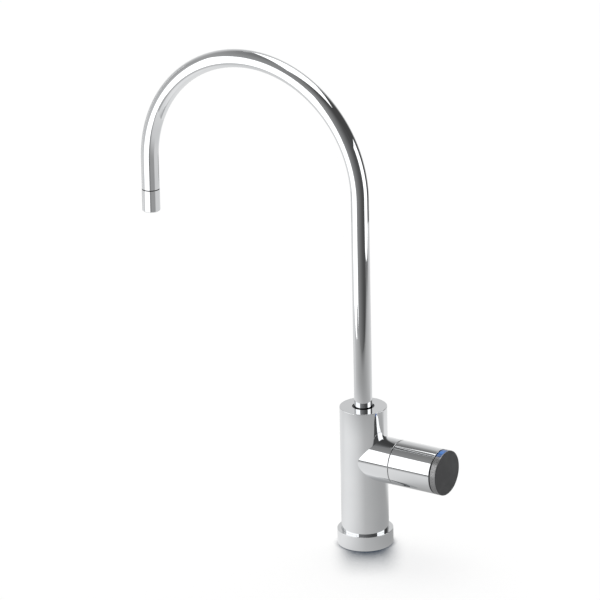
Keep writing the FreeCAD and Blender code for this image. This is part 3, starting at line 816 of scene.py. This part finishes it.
@dataclass
class SpoutAndNozzle(SubAssembly):
    """Gooseneck tube, its nozzle and the swivel in the body's top."""

    body: ClassVar[Body] = Body.SPOUT
    nodes: ClassVar[dict[str, Slot]] = {
        "spout_stem": Slot.STEEL,
        "spout_lower_seal": Slot.RUBBER,
        "spout_upper_seal": Slot.RUBBER,
        "spout_snap_ring": Slot.ACETAL,
        "nozzle_seal": Slot.RUBBER,
        "flow_straightener": Slot.ACETAL,
    }
    tube_radius: float = highest("spout_tube").x
    tube_bore: float = 0.0050
    arch_radius: float = -(lowest("spout_tube").x + tube_radius) / 2
    foot: float = lowest("spout_tube").z
    spring: float = highest("spout_tube").z - arch_radius - tube_radius
    tip: float = highest("nozzle_seal").z
    nozzle_radius: float = (highest("nozzle_body").x - lowest("nozzle_body").x) / 2
    nozzle_top: float = lowest("nozzle_seal").z
    nozzle_chamfer: float = 0.0006
    outlet: float = lowest("nozzle_body").z
    spigot_radius: float = 0.00497
    spigot_top: float = highest("nozzle_body").z
    throat_radius: float = 0.0042
    pocket_radius: float = 0.0050
    pocket_top: float = highest("flow_straightener").z
    lip_rounding: float = 0.00012
    edge_rounding: float = 0.0002
    stations: int = 220
    around: int = 96

    def build(self) -> None:
        """Makes the tube and the nozzle."""
        self.add(self.tube(), "spout_tube", Slot.CHROME)
        self.add(self.nozzle(), "nozzle_body", Slot.CHROME)

    def tube(self) -> bpy.types.Object:
        """Carries the tube's wall along the gooseneck."""
        path = Gooseneck(self.foot, self.spring, self.arch_radius, self.tip)
        corners = [
            (0.0, self.tube_bore, self.lip_rounding),
            (path.length, self.tube_bore, self.lip_rounding),
            (path.length, self.tube_radius, self.lip_rounding),
            (0.0, self.tube_radius, self.lip_rounding),
        ]
        return carry("spout_tube_drawn", WallLoop.rounded(corners, self.stations), path, self.around)

    def nozzle(self) -> bpy.types.Object:
        """Turns the nozzle about the drop's axis."""
        corners = [
            (self.outlet, self.pocket_radius, FINE_ROUNDING),
            (self.pocket_top, self.pocket_radius, FINE_ROUNDING),
            (self.pocket_top, self.throat_radius, FINE_ROUNDING),
            (self.spigot_top, self.throat_radius, FINE_ROUNDING),
            (self.spigot_top, self.spigot_radius, FINE_ROUNDING),
            (self.nozzle_top, self.spigot_radius, FINE_ROUNDING),
            (self.nozzle_top, self.nozzle_radius, self.lip_rounding),
            (self.outlet + self.nozzle_chamfer, self.nozzle_radius, self.edge_rounding),
            (self.outlet, self.nozzle_radius - self.nozzle_chamfer, FINE_ROUNDING),
        ]
        axis = StraightLine((-2 * self.arch_radius, 0.0, 0.0), UP, ALONG_KNOB)
        return carry("nozzle_turned", WallLoop.rounded(corners), axis, self.around)


@dataclass
class ValveSeat(SubAssembly):
    """Pieces of the valve and the swivel that stay still in the body."""

    body: ClassVar[Body] = Body.STILL
    nodes: ClassVar[dict[str, Slot]] = {
        "cartridge_housing": Slot.BRASS,
        "cartridge_seal": Slot.RUBBER,
        "seat_seal": Slot.RUBBER,
        "fixed_disc": Slot.CERAMIC,
        "spout_thrust_washer": Slot.ACETAL,
    }


@dataclass
class KnobAndSpindle(SubAssembly):
    """Polished sleeve with the hub and the turning parts of the valve."""

    body: ClassVar[Body] = Body.KNOB
    nodes: ClassVar[dict[str, Slot]] = {
        "moving_disc": Slot.CERAMIC,
        "spindle": Slot.BRASS,
        "spindle_inner_seal": Slot.RUBBER,
        "spindle_outer_seal": Slot.RUBBER,
        "friction_washer": Slot.ACETAL,
        "spindle_clip": Slot.STEEL,
        "knob_hub": Slot.HUB,
        "knob_screw": Slot.STEEL,
    }
    sleeve_radius: float = 0.0151
    sleeve_start: float = lowest("knob_sleeve").x
    sleeve_end: float = highest("knob_sleeve").x
    axis_height: float = highest("knob_sleeve").z - sleeve_radius
    bore_radius: float = 0.0133
    front_radius: float = 0.0130
    step_place: float = highest("knob_hub").x
    bore_rounding: float = 0.00008
    edge_rounding: float = 0.00025
    stations: int = 6
    around: int = 192

    def build(self) -> None:
        """Turns the sleeve about the knob's axis."""
        corners = [
            (self.sleeve_start, self.bore_radius, self.bore_rounding),
            (self.step_place, self.bore_radius, self.bore_rounding),
            (self.step_place, self.front_radius, self.bore_rounding),
            (self.sleeve_end, self.front_radius, self.bore_rounding),
            (self.sleeve_end, self.sleeve_radius, self.edge_rounding),
            (self.sleeve_start, self.sleeve_radius, self.edge_rounding),
        ]
        axis = StraightLine((0.0, 0.0, self.axis_height), ALONG_KNOB, ACROSS_KNOB)
        sleeve = carry("knob_sleeve_turned", WallLoop.rounded(corners, self.stations), axis, self.around)
        self.add(sleeve, "knob_sleeve", Slot.CHROME)


@dataclass
class CapAndLight(SubAssembly):
    """End cap with its blue window and the light behind it."""

    body: ClassVar[Body] = Body.KNOB
    nodes: ClassVar[dict[str, Slot]] = {
        "cap_gasket": Slot.RUBBER,
        "end_cap": Slot.GRAPHITE,
        "indicator_window": Slot.WINDOW,
        "circuit_board": Slot.BOARD,
        "indicator_led": Slot.LAMP,
        "coin_cell": Slot.STEEL,
        "cell_clip": Slot.STEEL,
    }


class Seen(Enum):
    """Which rays see a stage sheet: camera, mirrored rays, and light and shadow."""

    AS_FLOOR = (True, False, True)
    AS_BACKDROP = (True, False, False)
    IN_MIRRORS = (False, True, False)

    def set_on(self, sheet: bpy.types.Object) -> None:
        """Sets the sheet's ray visibility."""
        camera, mirrors, light = self.value
        sheet.visible_camera = camera
        sheet.visible_glossy = sheet.visible_transmission = mirrors
        sheet.visible_diffuse = sheet.visible_shadow = sheet.visible_volume_scatter = light


def stage_sheet(name: str, points: np.ndarray, seen: Seen) -> Paint:
    """Makes a stage sheet from a grid of points, in a plain matt paint.

    Args:
        name: The sheet's name.
        points: Rows and columns of points, whose columns may close on themselves.
        seen: The rays that see it.

    Returns:
        The paint.
    """
    rows, columns = points.shape[:2]
    i, j = np.meshgrid(np.arange(rows - 1), np.arange(columns - 1), indexing="ij")
    corner = (i * columns + j).ravel()
    faces = np.stack([corner, corner + columns, corner + columns + 1, corner + 1], 1)
    sheet = mesh_piece(name, points.reshape(-1, 3), faces, np.tile(UP, (rows * columns, 1)))
    seen.set_on(sheet)
    paint = Paint(f"{name}_paint")
    paint.made.cycles.emission_sampling = "NONE"
    paint.put("Roughness", MATT)
    paint.put("Specular IOR Level", 0.0)
    sheet.data.materials.append(paint.made)
    return paint


def round_grid(reach: np.ndarray, height: np.ndarray) -> np.ndarray:
    """Grid of points round the axis: reach times cosine and sine of the angle, at each height."""
    angle = np.arange(STAGE_AROUND + 1)[None, :] * (2 * math.pi / STAGE_AROUND)
    flat = reach[:, None]
    return np.stack([flat * np.cos(angle), flat * np.sin(angle), height[:, None] + 0 * angle], 2)


def towards_light(height: float) -> Place:
    """Direction to the light's bearing, at a height in degrees."""
    rise = math.radians(height)
    right, ahead = math.sin(LIGHT_BEARING), math.cos(LIGHT_BEARING)
    level = right * np.array(RIGHT_OF_CAMERA) + ahead * np.array(TOWARDS_CAMERA)
    return tuple(level * math.cos(rise) + np.array(UP) * math.sin(rise))


class StagePiece:
    """Part of the studio, which isn't part of the tap."""

    def build(self) -> None:
        """Makes the part; each kind has its own way."""
        raise NotImplementedError


@dataclass(frozen=True)
class SkyLight(StagePiece):
    """Soft light from all round, with a broad bright patch high behind the tap."""

    tone: Colour = (0.19, 0.21, 0.24)
    patch_tone: Colour = (4.85, 4.75, 4.60)
    patch_height: float = 66.0
    patch_power: float = 8.0

    def build(self) -> None:
        """Makes the world: the patch follows a power of the cosine of the angle from its middle."""
        world = bpy.data.worlds.new("studio_light")
        world.use_nodes = True
        bpy.context.scene.world = world
        kit = NodeKit(world.node_tree)
        ray = kit.node("ShaderNodeTexCoord").outputs["Generated"]
        cosine = kit.math("MAXIMUM", kit.dot(ray, towards_light(self.patch_height)), 0.0)
        patch = kit.math("POWER", cosine, self.patch_power)
        background = world.node_tree.nodes["Background"]
        kit.feed(background.inputs["Color"], kit.mix(patch, self.tone, self.patch_tone))


@dataclass(frozen=True)
class PaleFloor(StagePiece):
    """Pale floor, which keeps the tap's cast shadow and has a shade painted into its colour, darkest close
    in front of the foot.
    """

    radius: float = 6.0
    tone: Colour = (1.0, 1.0, 1.0)
    own_light: float = 0.76
    # Colour of the painted shade.
    painted_shade_tone: Colour = (0.03, 0.05, 0.08)
    shade_height: float = 2.0
    shade_reach: float = 0.048
    shade_samples: int = 12
    painted_shade_range: Range = (0.465, 0.985)
    painted_shade_lane_middle: float = 0.001
    painted_shade_lane_edge: Range = (0.010, 0.027)
    painted_shade_foot_edge: Range = (0.0186, 0.0235)

    def build(self) -> None:
        """Lays the floor, which is partly lit by itself.

        The shade painted into the floor's colour and glow follows how much of a half ball of directions,
        leaning to the light, the tap leaves open. It is painted in a lane in front of the foot and close
        round the foot.
        """
        reach = np.linspace(AXIS_GAP, self.radius, 3)
        kit = stage_sheet("studio_floor", round_grid(reach, 0 * reach), Seen.AS_FLOOR)
        lean = kit.node("ShaderNodeCombineXYZ")
        for socket, part in zip(lean.inputs, towards_light(self.shade_height)):
            socket.default_value = part
        near = kit.node("ShaderNodeAmbientOcclusion", samples=self.shade_samples)
        near.inputs["Distance"].default_value = self.shade_reach
        kit.feed(near.inputs["Normal"], lean.outputs[0])
        # Painted shade: the occlusion share darkens the floor's colour and glow.
        shade = kit.span(near.outputs["AO"], *self.painted_shade_range)
        across, ahead = kit.plan(kit.place)
        # The painted shade is kept to a lane in front of the foot and a band close round it.
        side = kit.math("ABSOLUTE", kit.math("SUBTRACT", across, self.painted_shade_lane_middle))
        lane = kit.span(side, *self.painted_shade_lane_edge, 1.0, 0.0)
        close = kit.span(kit.hypotenuse(across, ahead), *self.painted_shade_foot_edge, 1.0, 0.0)
        unshaded_share = kit.over(1.0, shade, kit.math("MAXIMUM", lane, close))
        # Both the base colour and the glow go over to the painted shade tone where the shade is painted.
        for name, share in (("Base Color", 1.0 - self.own_light), ("Emission Color", self.own_light)):
            dim, pale = (tuple(share * part for part in tone) for tone in (self.painted_shade_tone, self.tone))
            kit.put(name, kit.mix(unshaded_share, dim, pale))
        kit.put("Emission Strength", 1.0)


@dataclass(frozen=True)
class Backdrop(StagePiece):
    """Plain white drum far round the floor, for the camera alone."""

    radius: float = 14.0
    bottom: float = -0.5
    top: float = 9.0

    def build(self) -> None:
        """Hangs the drum."""
        height = np.array([self.bottom, self.top])
        drum = round_grid(0 * height + self.radius, height)
        stage_sheet("studio_backdrop", drum, Seen.AS_BACKDROP).glow(1.0)


@dataclass(frozen=True)
class TableFace(StagePiece):
    """Table face that the chrome mirrors: a glowing sheet whose grey levels are painted light and shade of a
    floor.
    """

    radius: float = 0.62
    height: float = 0.00012
    near_level: float = 0.55
    left_swing: float = -0.37
    right_swing: float = -0.13
    back_level: float = 0.86
    back_edge: Range = (-0.10, -0.03)
    far_level: float = 0.60
    far_swing: float = -0.25
    far_edge: Range = (0.20, 0.31)
    dark_left: Step = (-0.25, 0.0, 0.34, 0.10)
    dark_right: Step = (0.20, 0.42, 0.0, 0.10)
    oval_share: float = 0.7
    oval_edge: Range = (0.30, 0.39)
    front_edge: Range = (-0.35, 0.05)

    def build(self) -> None:
        """Lays the table face, which glows with painted light and shade of a floor.

        Near the tap its level follows the sine of the bearing, palest on the left, and it is pale close
        behind. Further out it follows the cosine, palest behind. Past an oval edge, in front and at the
        sides, it is dark.
        """
        reach = np.linspace(AXIS_GAP, self.radius, 3)
        grid = round_grid(reach, 0 * reach + self.height)
        kit = stage_sheet("studio_table", grid, Seen.IN_MIRRORS)
        across, ahead = kit.plan(kit.place)
        out = kit.math("MAXIMUM", kit.hypotenuse(across, ahead), AXIS_GAP)
        sine, cosine = kit.math("DIVIDE", across, out), kit.math("DIVIDE", ahead, out)
        # Painted light and shade: near the tap the glow is palest on the left and dimmer to the right.
        near = kit.math("MULTIPLY_ADD", kit.math("MINIMUM", sine, 0.0), self.left_swing, self.near_level)
        near = kit.math("MULTIPLY_ADD", kit.math("MAXIMUM", sine, 0.0), self.right_swing, near)
        near = kit.over(near, self.back_level, kit.span(ahead, *self.back_edge, 1.0, 0.0))
        far = kit.math("MULTIPLY_ADD", cosine, self.far_swing, self.far_level)
        level = kit.over(near, far, kit.span(out, *self.far_edge))
        dark = kit.math("ADD", kit.span(across, *self.dark_left), kit.span(across, *self.dark_right))
        wide = kit.math("MULTIPLY", across, self.oval_share)
        oval = kit.hypotenuse(wide, kit.math("MAXIMUM", ahead, 0.0))
        past = kit.math("MULTIPLY", kit.span(oval, *self.oval_edge), kit.span(cosine, *self.front_edge))
        kit.glow(kit.over(level, dark, past))


@dataclass(frozen=True)
class FarWalls(StagePiece):
    """Far dim walls that the chrome mirrors, with levels over bearing and height in degrees."""

    radius: float = 30.0
    rows: int = 49
    ground: Step = (-60.0, -25.0, 0.80, 0.60)
    ground_edge: Range = (-27.0, -23.0)
    front: Step = (-60.0, 50.0, 0.30, 0.07)
    left: Step = (-110.0, -40.0, 1.0, 0.0)
    left_fade: Step = (0.0, 90.0, 0.50, 0.15)
    back_edge: Range = (125.0, 165.0)
    shine: Step = (-5.0, 22.0, 0.95, 0.70)
    shine_fall: Step = (22.0, 52.0, 0.0, -0.50)

    def build(self) -> None:
        """Sets the walls as a ball round the table, whose level follows the bearing and the height.

        They are paler on the left and behind, and near black in front and to the right.
        """
        tilt = np.linspace(AXIS_GAP - math.pi / 2, math.pi / 2 - AXIS_GAP, self.rows)
        ball = round_grid(self.radius * np.cos(tilt), self.radius * np.sin(tilt))
        kit = stage_sheet("studio_walls", ball, Seen.IN_MIRRORS)
        unit = kit.node("ShaderNodeVectorMath", operation="NORMALIZE")
        kit.feed(unit.inputs[0], kit.place)
        ray = unit.outputs[0]
        bearing = kit.math("DEGREES", kit.math("ARCTAN2", *kit.plan(ray)))
        height = kit.math("DEGREES", kit.math("ARCSINE", kit.dot(ray, UP)))
        front, left = kit.span(bearing, *self.front), kit.span(bearing, *self.left)
        sides = kit.over(front, kit.span(height, *self.left_fade), left)
        shine = kit.math("ADD", kit.span(height, *self.shine), kit.span(height, *self.shine_fall))
        walls = kit.over(sides, shine, kit.span(kit.math("ABSOLUTE", bearing), *self.back_edge))
        below = kit.span(height, *self.ground_edge, 1.0, 0.0)
        kit.glow(kit.over(walls, kit.span(height, *self.ground), below))


@dataclass(frozen=True)
class StandingCard(StagePiece):
    """Upright card beside the tap, seen in the polished pieces: white to light or dim to shade them."""

    name: str
    ends: tuple[Range, Range]
    low: float
    high: float
    levels: Range
    top_levels: Range | None = None
    change: Range = (0.0, 1.0)
    one_sided: bool = False

    def build(self) -> None:
        """Stands the card between two places, given to the right of the column and ahead of it.

        Its level goes from the first end's to the last one's over a stretch of its length, and may go over
        to other levels at its top. A one-sided card is clear from behind.
        """
        ends = np.array(self.ends) @ np.array([RIGHT_OF_CAMERA, TOWARDS_CAMERA])
        rise = np.array([self.low, self.high])[:, None, None] * np.array(UP)
        kit = stage_sheet(self.name, ends[None] + rise, Seen.IN_MIRRORS)
        length = float(np.linalg.norm(ends[1] - ends[0]))
        along = (ends[1] - ends[0]) / length
        start, stop = (float(ends[0] @ along) + share * length for share in self.change)
        reach = kit.dot(kit.place, tuple(along))
        level = kit.span(reach, start, stop, *self.levels)
        if self.top_levels:
            top = kit.span(reach, start, stop, *self.top_levels)
            level = kit.over(level, top, kit.span(kit.dot(kit.place, UP), self.low, self.high))
        kit.glow(level)
        if self.one_sided:
            behind = kit.node("ShaderNodeNewGeometry").outputs["Backfacing"]
            kit.put("Alpha", kit.math("SUBTRACT", 1.0, behind))


@dataclass(frozen=True)
class OverheadPanel(StagePiece):
    """White panel that hangs level above the tap, seen in the polished pieces."""

    name: str
    left: float
    right: float
    ahead: float
    behind: float
    height: float
    level: float

    def build(self) -> None:
        """Hangs the panel, measured from the column's axis as the camera sees it."""
        side = np.array([-self.left, self.right])[None, :, None] * np.array(RIGHT_OF_CAMERA)
        depth = np.array([-self.behind, self.ahead])[:, None, None] * np.array(TOWARDS_CAMERA)
        points = side + depth + np.array([0.0, 0.0, self.height])
        stage_sheet(self.name, points, Seen.IN_MIRRORS).glow(self.level)


@dataclass(frozen=True)
class Studio:
    """Soft white studio with a pale floor, and the walls, cards and table that the chrome mirrors."""

    white: Range = (1.6, 1.6)
    beside_drop: tuple[Range, Range] = ((-0.1372, -0.0697), (-0.1170, -0.1007))
    drop_low: float = 0.185
    drop_bend: float = 0.238
    drop_fade: float = 0.256
    drop_top: float = 0.288
    drop_levels: Range = (0.37, 0.74)
    drop_change: Range = (0.34, 0.39)
    bend_levels: Range = (0.73, 0.73)
    bend_top_levels: Range = (0.84, 0.82)
    panel_height: float = 0.60

    def pieces(self) -> tuple[StagePiece, ...]:
        """Every part of the studio, in the order of building."""
        return SkyLight(), PaleFloor(), Backdrop(), TableFace(), FarWalls(), *self.cards(), *self.panels()

    def cards(self) -> tuple[StandingCard, ...]:
        """White cards and dim flags round the tap, and three cards one above another beside the drop."""
        left, skirt = ((-0.55, -0.40), (-0.26, 0.40)), ((-0.342, 0.172), (-0.316, 0.243))
        right, flag = ((0.438, 0.296), (0.550, -0.120)), ((-0.55, -0.38), (-0.248, -0.0654))
        front = ((-0.126, 0.14), (0.216, 0.14))
        drop, change = self.beside_drop, self.drop_change
        return (
            StandingCard("left_card", left, 0.0, 0.47, self.white),
            StandingCard("left_skirt", skirt, 0.0, 0.022, (0.08, 0.08)),
            StandingCard("right_card", right, 0.015, 0.46, self.white),
            StandingCard("left_flag", flag, 0.0, 0.45, (0.88, 0.92), (0.361, 0.377)),
            StandingCard("front_flag", front, 0.084, 0.45, (0.33, 0.085), change=(-0.1, 0.66)),
            StandingCard(
                "drop_card", drop, self.drop_low, self.drop_bend, self.drop_levels, None, change, True
            ),
            StandingCard(
                "fade_card", drop, self.drop_bend, self.drop_fade, self.drop_levels, self.bend_levels,
                change, True,
            ),
            StandingCard(
                "bend_card", drop, self.drop_fade, self.drop_top, self.bend_levels, self.bend_top_levels,
                one_sided=True,
            ),
        )

    def panels(self) -> tuple[OverheadPanel, ...]:
        """Panel overhead with a dimmer tab at its back corner."""
        return (
            OverheadPanel("overhead_panel", 0.120, 0.236, 0.065, 0.330, self.panel_height, 1.7),
            OverheadPanel("overhead_tab", 0.175, -0.120, -0.288, 0.315, self.panel_height, 1.15),
        )

    def build(self) -> None:
        """Builds the light, the floor and everything that the chrome mirrors."""
        for piece in self.pieces():
            piece.build()
        LOG.info("studio built")


@dataclass(frozen=True)
class ViewCamera:
    """Camera at the photograph's angle, in metres, degrees and pixels."""

    target: Place = (-0.040, 0.0, 0.160)
    elevation: float = 20.9
    roll: float = -1.15
    distance: float = 4.0
    image_pixels: float = 600.0
    pixels_per_metre: float = 1520.0
    shift_pixels: Range = (-10.3, 5.2)
    sensor: float = 36.0
    clip_end: float = 60.0

    def build(self) -> None:
        """Makes the camera and gives it to the scene."""
        data = bpy.data.cameras.new("view_camera")
        data.sensor_width = self.sensor
        data.lens = self.sensor * self.distance / (self.image_pixels / self.pixels_per_metre)
        data.shift_x, data.shift_y = (pixels / self.image_pixels for pixels in self.shift_pixels)
        data.clip_end = self.clip_end
        rise, roll = math.radians(self.elevation), math.radians(self.roll)
        level = Vector(RIGHT_OF_CAMERA)
        back = Vector(TOWARDS_CAMERA) * math.cos(rise) + Vector(UP) * math.sin(rise)
        upright = back.cross(level)
        right = level * math.cos(roll) + upright * math.sin(roll)
        up = upright * math.cos(roll) - level * math.sin(roll)
        turn = Matrix((right, up, back)).transposed().to_4x4()
        camera = bpy.data.objects.new("view_camera", data)
        camera.matrix_world = Matrix.Translation(Vector(self.target) + back * self.distance) @ turn
        bpy.context.scene.collection.objects.link(camera)
        bpy.context.scene.camera = camera
        LOG.info("camera set")


def main() -> None:
    """Builds the tap's sub-assemblies, the studio and the camera."""
    logging.basicConfig(level=logging.INFO)
    bpy.context.scene.view_settings.view_transform = "Standard"
    wardrobe = Wardrobe()
    for assembly in (BodyAndBase, SpoutAndNozzle, ValveSeat, KnobAndSpindle, CapAndLight):
        assembly(wardrobe).assemble()
    Studio().build()
    ViewCamera().build()


if __name__ == "__main__":
    main()
